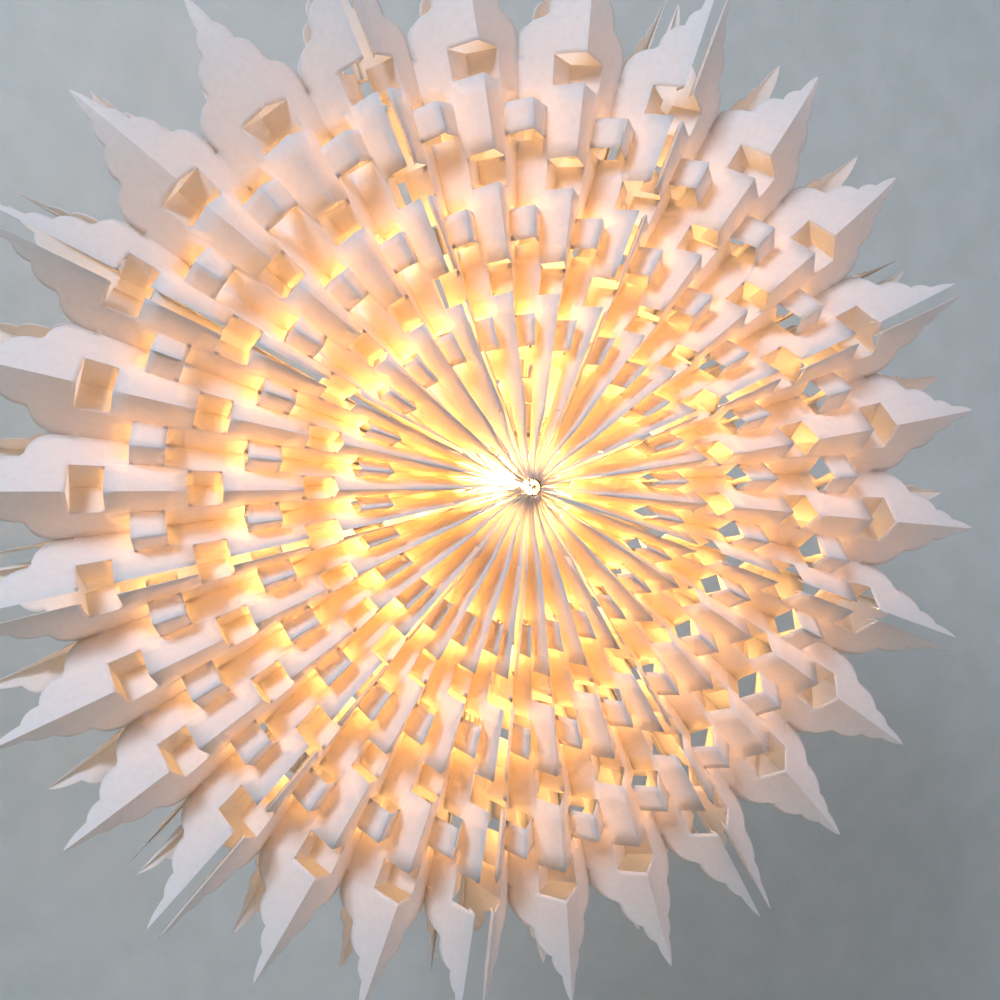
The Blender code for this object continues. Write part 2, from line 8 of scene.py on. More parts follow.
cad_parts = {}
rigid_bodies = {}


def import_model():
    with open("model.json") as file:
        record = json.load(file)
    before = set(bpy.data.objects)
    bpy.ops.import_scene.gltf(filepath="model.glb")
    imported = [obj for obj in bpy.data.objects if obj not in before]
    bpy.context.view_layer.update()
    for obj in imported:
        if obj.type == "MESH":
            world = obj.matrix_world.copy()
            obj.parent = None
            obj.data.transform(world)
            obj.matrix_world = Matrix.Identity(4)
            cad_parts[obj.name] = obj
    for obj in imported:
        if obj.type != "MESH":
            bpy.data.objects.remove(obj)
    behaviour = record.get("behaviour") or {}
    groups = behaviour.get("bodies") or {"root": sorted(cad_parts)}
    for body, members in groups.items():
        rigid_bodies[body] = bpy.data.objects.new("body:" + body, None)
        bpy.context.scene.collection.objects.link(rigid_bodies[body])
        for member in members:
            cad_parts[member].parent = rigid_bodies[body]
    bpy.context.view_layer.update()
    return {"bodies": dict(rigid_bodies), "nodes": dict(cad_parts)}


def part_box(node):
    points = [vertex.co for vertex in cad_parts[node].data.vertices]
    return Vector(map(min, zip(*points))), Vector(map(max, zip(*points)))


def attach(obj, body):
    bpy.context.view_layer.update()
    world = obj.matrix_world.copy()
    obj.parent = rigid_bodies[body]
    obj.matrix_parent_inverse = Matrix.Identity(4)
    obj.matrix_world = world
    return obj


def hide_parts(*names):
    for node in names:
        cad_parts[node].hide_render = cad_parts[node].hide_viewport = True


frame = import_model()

# ---- Camera ----
# A little left of the star and level with its hub, at arm's length, turned slightly past it to the
# right and rolled a few degrees, as when someone looks up at a hanging lantern.

hub_low, hub_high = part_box("front_hub_thread")
HUB_HEIGHT = (hub_low.z + hub_high.z) / 2  # the star's hub axis runs along Y at this height
CAMERA_PLACE = Vector((-0.1947, -0.6244, 0.0320))  # from the star's centre
CAMERA_RIGHT = Vector((0.95679, -0.28429, 0.06111))
CAMERA_AHEAD = Vector((0.28801, 0.95545, -0.06457))
LENS = 40.96  # mm
SENSOR = 36.0  # mm

camera_up = CAMERA_RIGHT.cross(CAMERA_AHEAD)
camera = bpy.data.objects.new("camera", bpy.data.cameras.new("camera"))
camera.data.lens = LENS
camera.data.sensor_width = SENSOR
turn = Matrix((CAMERA_RIGHT, camera_up, -CAMERA_AHEAD)).transposed().to_4x4()
camera.matrix_world = Matrix.Translation(CAMERA_PLACE + Vector((0, 0, HUB_HEIGHT))) @ turn
bpy.context.scene.collection.objects.link(camera)
bpy.context.scene.camera = camera

# ---- Cord gland, dome, skirt and shade ring ----
# The lamp holder's shell is white polyamide, moulded and screwed together. The dome screws on to the
# skirt, and the shade ring screws up the skirt's coarse thread to clamp the carrier wire.

ROUND = 96  # sides of a turned piece
PLASTIC_WHITE = "#e9e8e3"
SKIRT_THREAD_PITCH = 0.0028
SKIRT_THREAD_DEPTH = 0.0005
GRIP_RIBS = 36
GRIP_DEPTH = 0.0005


def linear(colour, alpha=1.0):
    """An sRGB hex colour as linear light."""
    parts = np.array([int(colour[i : i + 2], 16) for i in (1, 3, 5)]) / 255
    light = np.where(parts <= 0.04045, parts / 12.92, ((parts + 0.055) / 1.055) ** 2.4)
    return (*light.tolist(), alpha)


def add(tree, kind, settings=(), **links):
    """Adds a node. Settings are attributes. Links go to the sockets that they name, or number, as i0."""
    node = tree.nodes.new(kind)
    for name, value in dict(settings).items():
        setattr(node, name, value)
    for name, value in links.items():
        numbered = name[0] == "i" and name[1:].isdigit()
        socket = node.inputs[int(name[1:]) if numbered else name.replace("_", " ")]
        if isinstance(value, bpy.types.NodeSocket):
            tree.links.new(value, socket)
        else:
            socket.default_value = value
    return node


def new_material(name):
    """An empty node material: (material, tree, Principled node, Object coordinates)."""
    made = bpy.data.materials.new(name)
    made.use_nodes = True
    tree = made.node_tree
    surface = tree.nodes["Principled BSDF"]
    place = add(tree, "ShaderNodeTexCoord").outputs["Object"]
    return made, tree, surface, place


def mottled(tree, place, size, dark, light, low=0.35, high=0.65):
    """A colour that wanders between two, over patches of the given size in metres."""
    noise = add(tree, "ShaderNodeTexNoise", Vector=place, Scale=1 / size, Detail=3.0)
    ramp = add(tree, "ShaderNodeValToRGB", Fac=noise.outputs["Fac"])
    ramp.color_ramp.elements[0].position = low
    ramp.color_ramp.elements[0].color = linear(dark)
    ramp.color_ramp.elements[1].position = high
    ramp.color_ramp.elements[1].color = linear(light)
    return ramp.outputs["Color"]


def grain(tree, surface, place, size, height, strength=0.5):
    """Fine bumps of the given size and height in metres, on the shader's normal."""
    noise = add(tree, "ShaderNodeTexNoise", Vector=place, Scale=1 / size, Detail=4.0)
    bump = add(tree, "ShaderNodeBump", Height=noise.outputs["Fac"], Distance=height, Strength=strength)
    tree.links.new(bump.outputs["Normal"], surface.inputs["Normal"])


def moulded_polyamide():
    """White polyamide, injection moulded: a soft gloss over a fine spark-eroded grain."""
    made, tree, surface, place = new_material("moulded_polyamide")
    tint = mottled(tree, place, 0.012, "#dedcd5", PLASTIC_WHITE)
    tree.links.new(tint, surface.inputs["Base Color"])
    surface.inputs["Roughness"].default_value = 0.38
    surface.inputs["IOR"].default_value = 1.53
    grain(tree, surface, place, 0.0006, 0.00006)
    return made


def finish_mesh(name, mesh, material, body, smooth_angle=35):
    """Turns mesh data into a piece that rides on a body: doubles merged and faces outwards."""
    bm = bmesh.new()
    bm.from_mesh(mesh)
    bmesh.ops.remove_doubles(bm, verts=bm.verts, dist=1e-6)
    bmesh.ops.recalc_face_normals(bm, faces=bm.faces)
    bm.to_mesh(mesh)
    bm.free()
    mesh.shade_smooth()
    mesh.set_sharp_from_angle(angle=math.radians(smooth_angle))
    mesh.materials.append(material)
    piece = bpy.data.objects.new(name, mesh)
    bpy.context.scene.collection.objects.link(piece)
    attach(piece, body)
    return piece


def quads(rows, columns, wrap_rows=False, wrap_columns=False):
    """Corner numbers of the quads of a grid, as an array of (rows, columns, 4)."""
    i = np.arange(rows if wrap_rows else rows - 1)[:, None]
    j = np.arange(columns if wrap_columns else columns - 1)[None, :]
    below = (i + 1) % rows
    right = (j + 1) % columns
    ring = [i * columns + j, below * columns + j, below * columns + right, i * columns + right]
    return np.stack(ring, -1)


def rounded(corners, radius, steps=4):
    """A closed outline of (radius, height) with each corner turned into a parabola of this reach."""
    here = np.array(corners, float)
    before = np.roll(here, 1, 0) - here
    after = np.roll(here, -1, 0) - here
    reach = [np.minimum(radius, 0.45 * np.linalg.norm(way, axis=1)) for way in (before, after)]
    start = here + before / np.linalg.norm(before, axis=1)[:, None] * reach[0][:, None]
    end = here + after / np.linalg.norm(after, axis=1)[:, None] * reach[1][:, None]
    t = np.linspace(0, 1, steps)[None, :, None]
    curves = (1 - t) ** 2 * start[:, None] + 2 * t * (1 - t) * here[:, None] + t**2 * end[:, None]
    return curves.reshape(-1, 2)


def turned(name, outline, material, body, closed=True, shape=None):
    """An outline of (radius, height above the hub) spun round the lamp axis. shape(turn, radius, height)
    gives a changed radius."""
    outline = np.asarray(outline, float)
    angle = np.linspace(0, 2 * math.pi, ROUND, endpoint=False)[None, :]
    radius = outline[:, :1] + 0 * angle
    height = outline[:, 1:] + 0 * angle
    if shape is not None:
        radius = shape(angle, radius, height)
    points = np.stack([radius * np.cos(angle), radius * np.sin(angle), height + HUB_HEIGHT], -1)
    mesh = bpy.data.meshes.new(name)
    faces = quads(len(outline), ROUND, wrap_rows=closed, wrap_columns=True).reshape(-1, 4)
    mesh.from_pydata(points.reshape(-1, 3).tolist(), [], faces.tolist())
    return finish_mesh(name, mesh, material, body)


HOLDER_RADIUS = 0.0134
HOLDER_INSIDE = 0.0117
SKIRT_BOTTOM = 0.017
SKIRT_TOP = 0.0457
SHOULDER_RADIUS = 0.0158
SHOULDER_BOTTOM = 0.0296
SHOULDER_TOP = 0.031
DOME_BASE = 0.046
DOME_BORE = 0.0042
GLAND_BORE = 0.0033
GLAND_NECK = 0.0039
GLAND_NUT = 0.0054
GLAND_RIM = 0.0042
GLAND_BOTTOM = 0.0573
GLAND_TOP = 0.072
GLAND_FLUTES = 12
FLUTE_DEPTH = 0.0004
RING_INSIDE = 0.0137
RING_OUTSIDE = 0.0151
RING_EDGE = 0.0165
RING_BOTTOM = 0.0205
RING_FLANGE = 0.0256
RING_TOP = 0.0272

polyamide = moulded_polyamide()


def skirt_thread(angle, radius, height):
    """A shallow sine thread on the outside of the skirt, below its shoulder."""
    on_thread = (radius > HOLDER_RADIUS - 0.0003) & (height > 0.0178) & (height < 0.0292)
    wave = 0.5 - 0.5 * np.cos(2 * math.pi * height / SKIRT_THREAD_PITCH - angle)
    return radius - np.where(on_thread, SKIRT_THREAD_DEPTH * wave, 0)


skirt_outline = rounded(
    [
        (HOLDER_RADIUS, SHOULDER_BOTTOM),
        (SHOULDER_RADIUS, SHOULDER_BOTTOM),
        (SHOULDER_RADIUS, SHOULDER_TOP),
        (HOLDER_RADIUS, SHOULDER_TOP),
        (HOLDER_RADIUS, SKIRT_TOP),
        (HOLDER_INSIDE, SKIRT_TOP),
        (HOLDER_INSIDE, SKIRT_BOTTOM),
        (HOLDER_RADIUS, SKIRT_BOTTOM),
    ],
    0.0004,
)
thread_rows = np.linspace(0.0176, 0.0291, 48)
thread_line = np.stack([np.full(len(thread_rows), HOLDER_RADIUS), thread_rows], -1)
skirt_line = np.concatenate([skirt_outline, thread_line])
skirt = turned("skirt_shell", skirt_line, polyamide, "holder", shape=skirt_thread)
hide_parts("holder_skirt")

dome_turn = np.linspace(0, math.pi / 2, 14)
dome_outside = np.stack([0.0057 + 0.0077 * np.cos(dome_turn), DOME_BASE + 0.0142 * np.sin(dome_turn)], -1)
dome_inside = np.stack([0.0054 + 0.0063 * np.cos(dome_turn), DOME_BASE + 0.0115 * np.sin(dome_turn)], -1)
dome_bore = np.array([[DOME_BORE, 0.0602], [DOME_BORE, 0.0575]])
dome_line = np.concatenate([dome_outside, dome_bore, dome_inside[::-1]])
dome = turned("dome_shell", dome_line, polyamide, "holder")
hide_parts("holder_dome")


def gland_grip(angle, radius, height):
    """Flutes round the gland's nut."""
    on_nut = (radius > 0.0047) & (height > 0.0612) & (height < 0.0705)
    return radius - np.where(on_nut, FLUTE_DEPTH * (0.5 + 0.5 * np.cos(angle * GLAND_FLUTES)), 0)


gland_outline = rounded(
    [
        (GLAND_BORE, GLAND_BOTTOM),
        (GLAND_NECK, GLAND_BOTTOM),
        (GLAND_NECK, 0.0605),
        (GLAND_NUT, 0.0605),
        (GLAND_NUT, 0.061),
        (GLAND_NUT, 0.0615),
        (GLAND_NUT, 0.0700),
        (GLAND_NUT, 0.0708),
        (GLAND_RIM, GLAND_TOP),
        (GLAND_BORE, GLAND_TOP),
    ],
    0.0002,
)
gland = turned("gland_nut", gland_outline, polyamide, "holder", shape=gland_grip)
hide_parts("cord_gland")


def ring_grip(angle, radius, height):
    """Ribs round the edge of the shade ring, for the fingers."""
    on_edge = radius > 0.0157
    return radius - np.where(on_edge, GRIP_DEPTH * (0.5 + 0.5 * np.cos(angle * GRIP_RIBS)), 0)


ring_outline = rounded(
    [
        (RING_INSIDE, RING_BOTTOM),
        (RING_OUTSIDE, RING_BOTTOM),
        (RING_OUTSIDE, RING_FLANGE),
        (RING_EDGE, RING_FLANGE),
        (RING_EDGE, RING_TOP),
        (RING_INSIDE, RING_TOP),
    ],
    0.0003,
)
ring = turned("shade_ring_ribbed", ring_outline, polyamide, "shade_ring", shape=ring_grip)
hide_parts("shade_ring")

# ---- Insert, contact sleeve, contacts and terminals ----
# A glazed steatite insert keeps the live parts apart. The sleeve is rolled brass with a knuckle thread,
# and the centre contact is a bent leaf of the same brass, riveted to its terminal.

CAP_THREAD_PITCH = 0.00282  # of an E14 thread
CAP_THREAD_DEPTH = 0.0003
SLEEVE_OUTSIDE = 0.0076
SLEEVE_INSIDE = 0.0075
STEATITE = "#e4dfd3"
BRASS = "#c9a45c"


def glazed_steatite():
    """Steatite, pressed, fired and glazed: a warm white body under a thin clear gloss."""
    made, tree, surface, place = new_material("glazed_steatite")
    tint = mottled(tree, place, 0.004, "#d8d2c4", STEATITE)
    tree.links.new(tint, surface.inputs["Base Color"])
    surface.inputs["Roughness"].default_value = 0.25
    surface.inputs["IOR"].default_value = 1.6
    grain(tree, surface, place, 0.0015, 0.00008)
    return made


def rolled_brass():
    """Brass strip, rolled and pickled: a bright metal with faint brown toning in patches."""
    made, tree, surface, place = new_material("rolled_brass")
    tint = mottled(tree, place, 0.003, "#a98545", BRASS)
    tree.links.new(tint, surface.inputs["Base Color"])
    surface.inputs["Metallic"].default_value = 1.0
    surface.inputs["Roughness"].default_value = 0.32
    grain(tree, surface, place, 0.0004, 0.00003)
    return made


steatite = glazed_steatite()
brass = rolled_brass()


def dress(names, material):
    """Gives carried-over CAD nodes their material."""
    for name in names:
        node = frame["nodes"][name]
        for place in node.material_slots:
            place.material = material


dress(["holder_insert"], steatite)
dress(["centre_contact", "live_terminal", "neutral_terminal"], brass)


def knuckle(angle, radius, height, low, high):
    """A round thread that fades out at both ends of its stretch."""
    inside = np.clip(np.minimum(height - low, high - height) / 0.001, 0, 1)
    wave = 0.5 - 0.5 * np.cos(2 * math.pi * height / CAP_THREAD_PITCH - angle)
    return radius - inside * CAP_THREAD_DEPTH * wave


def sleeve_thread(angle, radius, height):
    """The knuckle thread of the contact sleeve."""
    return knuckle(angle, radius, height, 0.0195, 0.0415)


sleeve_rows = np.linspace(0.019, 0.042, 72)
sleeve_outside = np.stack([np.full(len(sleeve_rows), SLEEVE_OUTSIDE), sleeve_rows], -1)
sleeve_inside = np.stack([np.full(len(sleeve_rows), SLEEVE_INSIDE), sleeve_rows[::-1]], -1)
sleeve_line = np.concatenate([sleeve_outside, sleeve_inside])
sleeve = turned("sleeve_threaded", sleeve_line, brass, "holder", shape=sleeve_thread)
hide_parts("contact_sleeve")

# ---- Bulb ----
# A small opal bulb on an E14 cap. The glass is blown and flashed white inside, so that it glows all
# over, and the nickel-plated cap is rolled on to its neck with the same knuckle thread.

CAP_RADIUS = 0.0069
CAP_INSIDE = 0.0065
GLOBE_RADIUS = 0.013
GLOBE_HEIGHT = -0.003
GLASS_WALL = 0.0008
NECK_RADIUS = 0.0062
SHOULDER_TURN = math.radians(42)  # from the lamp axis to where the globe begins
LAMP_LIGHT = "#ffb765"
LAMP_STRENGTH = 380.0


def nickel_plate():
    """Nickel plate over brass: a yellowish silver, dulled by handling."""
    made, tree, surface, place = new_material("nickel_plate")
    tint = mottled(tree, place, 0.003, "#a8a49a", "#c9c6bc")
    tree.links.new(tint, surface.inputs["Base Color"])
    surface.inputs["Metallic"].default_value = 1.0
    surface.inputs["Roughness"].default_value = 0.28
    grain(tree, surface, place, 0.0006, 0.00002)
    return made


def flashed_opal_glass():
    """Blown glass flashed white inside, with the lamp on: an even warm glow under a clear gloss."""
    made, tree, surface, place = new_material("flashed_opal_glass")
    tint = mottled(tree, place, 0.006, "#fff3e0", "#fffaf0")
    tree.links.new(tint, surface.inputs["Base Color"])
    surface.inputs["Roughness"].default_value = 0.12
    surface.inputs["IOR"].default_value = 1.5
    surface.inputs["Emission Color"].default_value = linear(LAMP_LIGHT)
    surface.inputs["Emission Strength"].default_value = LAMP_STRENGTH
    return made


nickel = nickel_plate()
opal = flashed_opal_glass()


def cap_thread(angle, radius, height):
    """The knuckle thread of the bulb's cap."""
    return knuckle(angle, radius, height, 0.0175, 0.0335)


cap_rows = np.linspace(0.0152, 0.0345, 64)
cap_outside = np.stack([np.full(len(cap_rows), CAP_RADIUS), cap_rows], -1)
cap_top = np.array(
    [(0.0066, 0.0352), (0.0040, 0.0370), (0.0030, 0.0370), (0.0030, 0.0366), (0.0038, 0.0366), (0.0062, 0.0348)]
)
cap_inside = np.stack([np.full(len(cap_rows), CAP_INSIDE), cap_rows[::-1]], -1)
cap_line = np.concatenate([cap_outside, cap_top, cap_inside])
cap = turned("cap_threaded", cap_line, nickel, "bulb", shape=cap_thread)
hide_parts("bulb_cap")


def globe_line(radius, neck):
    """Half the glass's outline: a straight neck, a smooth shoulder and a round globe."""
    turns = np.linspace(SHOULDER_TURN, math.pi, 28)
    round_part = np.stack([radius * np.sin(turns), GLOBE_HEIGHT + radius * np.cos(turns)], -1)
    t = np.linspace(0, 1, 10)[:-1, None]
    neck_end = np.array([[neck, 0.0150]])
    corner = np.array([[neck + 0.0002, 0.0098]])
    shoulder = (1 - t) ** 2 * neck_end + 2 * t * (1 - t) * corner + t**2 * round_part[:1]
    return np.concatenate([[[neck, 0.030]], shoulder, round_part])


glass_outside = globe_line(GLOBE_RADIUS, NECK_RADIUS)
glass_inside = globe_line(GLOBE_RADIUS - GLASS_WALL, NECK_RADIUS - GLASS_WALL)
glass_outline = np.concatenate([glass_outside[::-1], glass_inside])
glass_outline[np.abs(glass_outline[:, 0]) < 1e-6, 0] = 0.0
glass = turned("glass_globe", glass_outline, opal, "bulb", closed=False)
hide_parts("bulb_glass")
dress(["bulb_contact"], brass)
dress(["bulb_stem"], opal)

# ---- Carrier wire ----
# Bright drawn spring wire, bent into a loop that the shade ring clamps, with an arm down each side of
# the bulb and a hook behind each hub thread.

WIRE_RADIUS = 0.0007
WIRE_LOOP = 0.0144
WIRE_HEIGHT = 0.0284
WIRE_ARM = 0.019
WIRE_BEND = 0.004
WIRE_HOOK = 0.0018
WIRE_END = 0.033
WIRE_SHOULDER = 0.002
LEAST_ALONG = np.array([0.36, 0.48, 0.8])  # a direction that no stretch of a tube's path runs along


def drawn_wire():
    """Spring steel, drawn and left bright: fine lines along it and a cold grey shine."""
    made, tree, surface, place = new_material("drawn_wire")
    tint = mottled(tree, place, 0.002, "#8d8f92", "#b6b8bb")
    tree.links.new(tint, surface.inputs["Base Color"])
    surface.inputs["Metallic"].default_value = 1.0
    surface.inputs["Roughness"].default_value = 0.26
    grain(tree, surface, place, 0.0005, 0.00003)
    return made


def arc(centre, radius, start, end, count=10):
    """Points of an arc in a plane, as (across, up)."""
    t = np.linspace(math.radians(start), math.radians(end), count)
    return np.stack([centre[0] + radius * np.cos(t), centre[1] + radius * np.sin(t)], -1)


def tube(name, path, radius, material, body, closed=False, sides=12):
    """A round tube carried along a path of points. Each ring is square to the path, and its first side is
    one fixed direction with its part along the path taken out."""
    path = np.asarray(path, float)
    ahead = np.roll(path, -1, 0) - np.roll(path, 1, 0)
    if not closed:
        ahead[0] = path[1] - path[0]
        ahead[-1] = path[-1] - path[-2]
    ahead /= np.linalg.norm(ahead, axis=1)[:, None]
    side = LEAST_ALONG - (ahead @ LEAST_ALONG)[:, None] * ahead
    side /= np.linalg.norm(side, axis=1)[:, None]
    up = np.cross(ahead, side)
    t = np.linspace(0, 2 * math.pi, sides, endpoint=False)[None, :, None]
    points = path[:, None] + radius * (side[:, None] * np.cos(t) + up[:, None] * np.sin(t))
    faces = quads(len(path), sides, wrap_rows=closed, wrap_columns=True).reshape(-1, 4).tolist()
    if not closed:
        faces += [list(range(sides)), list(range((len(path) - 1) * sides, len(path) * sides))]
    mesh = bpy.data.meshes.new(name)
    mesh.from_pydata(points.reshape(-1, 3).tolist(), [], faces)
    return finish_mesh(name, mesh, material, body, smooth_angle=50)


loop = arc((0, 0), WIRE_LOOP, 0, -90, 16)
loop = np.stack([loop[:, 0], loop[:, 1], np.full(16, WIRE_HEIGHT)], -1)
shoulder = arc((-WIRE_ARM + WIRE_SHOULDER, WIRE_HEIGHT - WIRE_SHOULDER), WIRE_SHOULDER, 90, 180)
foot_bend = arc((-WIRE_ARM - WIRE_BEND, WIRE_BEND), WIRE_BEND, 0, -90)
hook = arc((-WIRE_END + WIRE_HOOK, WIRE_HOOK), WIRE_HOOK, 270, 36, 14)
side_view = np.concatenate([shoulder, foot_bend, hook])
arm = np.concatenate([np.zeros((len(side_view), 1)), side_view], 1)
half = np.concatenate([loop, arm])
other = half[::-1] * np.array([1, -1, 1])
wire_path = np.concatenate([other, half[1:]]) + np.array([0, 0, HUB_HEIGHT])
wire = tube("wire_carrier", wire_path, WIRE_RADIUS, drawn_wire(), "star_core")
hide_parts("carrier_wire")

# ---- Pleated sheets ----
# Nine sheets of matt white card on each face of the star, die-cut and folded into three pleats each.
# Windows are cut across ridges and valleys by turns, and their flaps are pushed through. Each seam
# edge has a narrow hem turned inwards. Front and back sheets are glued valley to valley.

STAR_RADIUS = 0.305
PANEL_WIDTH = 0.0408
MODULES = 9
PLEATS = 3
CORE_MODULE = 4  # counted from 0: this module stays with the carrier wire, and the others fan out
PAPER = 0.0003
VALLEY_LIFT = 0.0003
DRIFT = math.radians(6.9)
DRIFT_TOWARDS = math.radians(155.8)
SEAM_ANGLE = math.radians(1.3)
CLOSING_ANGLE = math.radians(2.4)  # at the seam with the pads
SEAM_CLEARANCE = 0.0005
SEAM_TAPER = 0.02  # inside this radius the clearance shrinks towards the hub
HEM_WIDTH = 0.008
HEM_START = 0.044
HEM_TAPER = 0.03  # the hem narrows to nothing over this stretch before the tip
HEM_LEAN = 0.12  # how far a hem leans back over its own panel
FIRST_WINDOW = 0.0854  # hub axis to the middle of the innermost window
WINDOW_STEP = 0.0289
WINDOW_COUNT = 6  # valley, ridge, valley, ridge, valley, ridge
WINDOW_LENGTH = 0.0174
WINDOW_SHARE = 0.4706  # depth of a flap over the panel's width
VALLEY_END = 0.2385
LOBE_SHARES = (0.32, 0.25, 0.17, 0.26)
LOBE_BULGES = (0.26, 0.22, 0.16, 0.05)
EDGE_HOLLOW = 1.5  # how far the edge is drawn in between valley and tip; 1 is a straight line
BACK_LEAN = math.radians(-4.2)  # how far the back ridges lean sideways at most
LEAN_TOWARDS = math.radians(200)
LEAN_RETURN = 0.5  # radians from the closing seam over which the lean grows
HUB_END = 0.0048
KINK_RADIUS = 0.044
ARM_TOP = 0.15
ARM_TIP = 0.30
ARM_WIDTH = 0.46
CAVITY_RADIUS = 0.036
CAVITY_RUN = 0.008
LAMP_REACH = 0.0195
CAVITY_TOP = 0.075
ROWS_PER_WINDOW = 5
ROWS_PER_LOBE = 12


def matt_card():
    """Uncoated white card, 250 g: matt, faintly cool where daylight meets it. Light from behind comes
    through warm and slightly cloudy, because the fibres lie in flocs about 2 mm across."""
    made, tree, surface, place = new_material("matt_card")
    face = mottled(tree, place, 0.004, "#f1f0ee", "#f6f5f3")
    tree.links.new(face, surface.inputs["Base Color"])
    surface.inputs["Roughness"].default_value = 0.85
    surface.inputs["IOR"].default_value = 1.45
    grain(tree, surface, place, 0.0012, 0.00012, 0.35)
    through = mottled(tree, place, 0.003, "#fbefdd", "#fff6ea")
    glow = add(tree, "ShaderNodeBsdfTranslucent", Color=through)
    both = add(tree, "ShaderNodeMixShader", i0=0.38, i1=surface.outputs["BSDF"], i2=glow.outputs["BSDF"])
    tree.links.new(both.outputs["Shader"], tree.nodes["Material Output"].inputs["Surface"])
    return made


def fold_angle(even):
    """Where a fold stands, given where it would stand if the pleats were spread evenly."""
    return even + DRIFT * np.cos(even - DRIFT_TOWARDS)


def module_folds(number):
    """Angles of one module's folds, seam edge to seam edge, with ridges half way between valleys, and
    how far each fold stands off its own angle's line."""
    along = np.linspace(0, 2 * math.pi / MODULES, 2 * PLEATS + 1)
    angles = fold_angle(along + 2 * math.pi / MODULES * number - math.pi / 2)
    angles[2:-1:2] = (angles[1:-2:2] + angles[3::2]) / 2
    angles[0] += (CLOSING_ANGLE if number == 0 else SEAM_ANGLE) / 2
    angles[-1] -= (CLOSING_ANGLE if number == MODULES - 1 else SEAM_ANGLE) / 2
    offsets = np.zeros(2 * PLEATS + 1)
    offsets[0] = SEAM_CLEARANCE
    offsets[-1] = -SEAM_CLEARANCE
    return angles, offsets


def foot(angle, offset, radius):
    """A fold in plan: straight out from the hub, shifted sideways by its offset."""
    aside = offset * np.clip(radius / SEAM_TAPER, 0, 1)
    across = radius * np.cos(angle) - aside * np.sin(angle)
    up = radius * np.sin(angle) + aside * np.cos(angle)
    return np.stack([across, up])


def on_panel(ridge, valley, radius, share, side):
    """Points of a panel. Share 0 is the ridge and share 1 the valley. The ridge stands off the mid-plane by
    the height that keeps the panel's width, by Pythagoras."""
    near = foot(*ridge, radius)
    far = foot(*valley, radius)
    height = np.sqrt(PANEL_WIDTH**2 - ((near - far) ** 2).sum(0))
    plan = near + (far - near) * share
    return np.stack([plan[0], side * (VALLEY_LIFT + height * (1 - share)), plan[1] + HUB_HEIGHT], -1)


def window_spans(first):
    """Inner and outer radius of every second window, counted from the given one."""
    middle = FIRST_WINDOW + WINDOW_STEP * np.arange(first, WINDOW_COUNT, 2)
    return np.stack([middle - WINDOW_LENGTH / 2, middle + WINDOW_LENGTH / 2], -1)


def scallops():
    """The scalloped edge as (radius, share): arcs between points of a hollow line from valley to tip."""
    ends = np.concatenate([[0], np.cumsum(LOBE_SHARES)])
    cusps = np.stack([(STAR_RADIUS - VALLEY_END) * ends, PANEL_WIDTH * ((1 - ends) ** EDGE_HOLLOW - 1)], -1)
    steps = np.diff(cusps, axis=0)
    chord = np.linalg.norm(steps, axis=1)[:, None]
    along = (steps / chord)[:, None, :]
    out = np.stack([-along[..., 1], along[..., 0]], -1)
    bulge = np.array(LOBE_BULGES)[:, None] * chord
    radius = chord**2 / (8 * bulge) + bulge / 2
    half = np.arcsin(chord / (2 * radius))
    t = np.linspace(-1, 1, ROWS_PER_LOBE)[None, :] * half
    forward = chord / 2 + radius * np.sin(t)
    outward = radius * np.cos(t) - (radius - bulge)
    points = cusps[:-1, None] + forward[..., None] * along + outward[..., None] * out
    points = points.reshape(-1, 2)
    return VALLEY_END + points[:, 0], 1 + points[:, 1] / PANEL_WIDTH


RIDGE_WINDOWS = window_spans(1)
VALLEY_WINDOWS = window_spans(0)
EDGE_RADIUS, EDGE_SHARE = scallops()
hub_rows = np.linspace(HUB_END, KINK_RADIUS, 14)
ALL_WINDOWS = np.concatenate([RIDGE_WINDOWS, VALLEY_WINDOWS])
window_rows = np.concatenate([np.linspace(low, high, ROWS_PER_WINDOW) for low, high in ALL_WINDOWS])


def rows_of(valleys):
    """Every radius at which a module's panels have a row of corners."""
    ends = cavity_end(valleys)
    rows = np.concatenate([hub_rows, ends, ends - CAVITY_RUN, window_rows, [VALLEY_END], EDGE_RADIUS])
    rows = np.unique(np.round(rows, 7))
    return rows[np.concatenate([[True], np.diff(rows) > 1e-5])]


def cavity_end(valley):
    """Where a valley starts: at the bulb's cavity or, above the lamp holder, clear of it."""
    beside = LAMP_REACH / np.maximum(np.abs(np.cos(valley)), 1e-3)
    return np.where(np.sin(valley) < 0, CAVITY_RADIUS, np.clip(beside, CAVITY_RADIUS, CAVITY_TOP))


def share_limits(rows, valley):
    """The panel's two sides at each row. Near the hub the crests part in a lens, and the arm's lower side is
    cut away over the lamp; beyond the last window it follows the scallops."""
    crest = np.clip((rows - HUB_END) / (KINK_RADIUS - HUB_END), 0, 1)
    low = ARM_TOP * np.sin(math.pi * crest**0.8) ** 0.9
    low = np.where(crest < 1, np.maximum(low, 0), 0)
    end = float(cavity_end(valley))
    high = np.interp(rows, [HUB_END, end - CAVITY_RUN, end], [ARM_TIP, ARM_WIDTH, 1.0])
    edge = np.interp(rows, EDGE_RADIUS, EDGE_SHARE)
    return low, np.where(rows > VALLEY_END, edge, high)


def inside(rows, spans):
    """True for each band between rows that lies in one of the spans."""
    middle = (rows[:-1] + rows[1:]) / 2
    return ((middle[:, None] > spans[:, 0]) & (middle[:, None] < spans[:, 1])).any(1)


COLUMNS = np.concatenate([np.linspace(0, WINDOW_SHARE, 5), np.linspace(1 - WINDOW_SHARE, 1, 5)])


